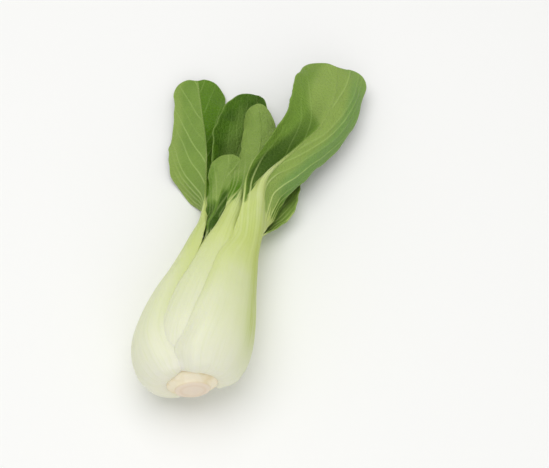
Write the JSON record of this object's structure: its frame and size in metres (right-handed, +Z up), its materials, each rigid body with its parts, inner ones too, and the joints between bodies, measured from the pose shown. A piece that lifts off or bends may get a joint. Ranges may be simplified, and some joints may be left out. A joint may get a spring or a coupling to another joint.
{
  "type": "baby bok choy head",
  "caption": "Head of baby bok choy lying on its side: pale swollen stalks wrapped round a cut stem, thin midribs and loose green leaf blades.",
  "frame": {"origin": "middle of the footprint, on the surface that the head lies on", "axes": "+Y along the head from its cut foot to its leaf tips, +X to the right as it lies, +Z up"},
  "size_m": [0.1046, 0.2122, 0.0541],
  "materials": {
    "stalk": null,
    "blade": null,
    "stem": null
  },
  "bodies": {
    "root": {"stem": "stem", "leaf_01_stalk": "stalk", "leaf_01_blade": "blade", "leaf_02_stalk": "stalk", "leaf_02_blade": "blade", "leaf_03_stalk": "stalk", "leaf_03_blade": "blade", "leaf_04_stalk": "stalk", "leaf_04_blade": "blade", "leaf_05_stalk": "stalk", "leaf_05_blade": "blade", "leaf_06_stalk": "stalk", "leaf_06_blade": "blade", "leaf_07_stalk": "stalk", "leaf_07_blade": "blade", "leaf_08_stalk": "stalk", "leaf_08_blade": "blade", "leaf_09_stalk": "stalk", "leaf_09_blade": "blade", "leaf_10_stalk": "stalk", "leaf_10_blade": "blade", "leaf_11_stalk": "stalk", "leaf_11_blade": "blade", "leaf_12_stalk": "stalk", "leaf_12_blade": "blade"}
  },
  "joints": []
}
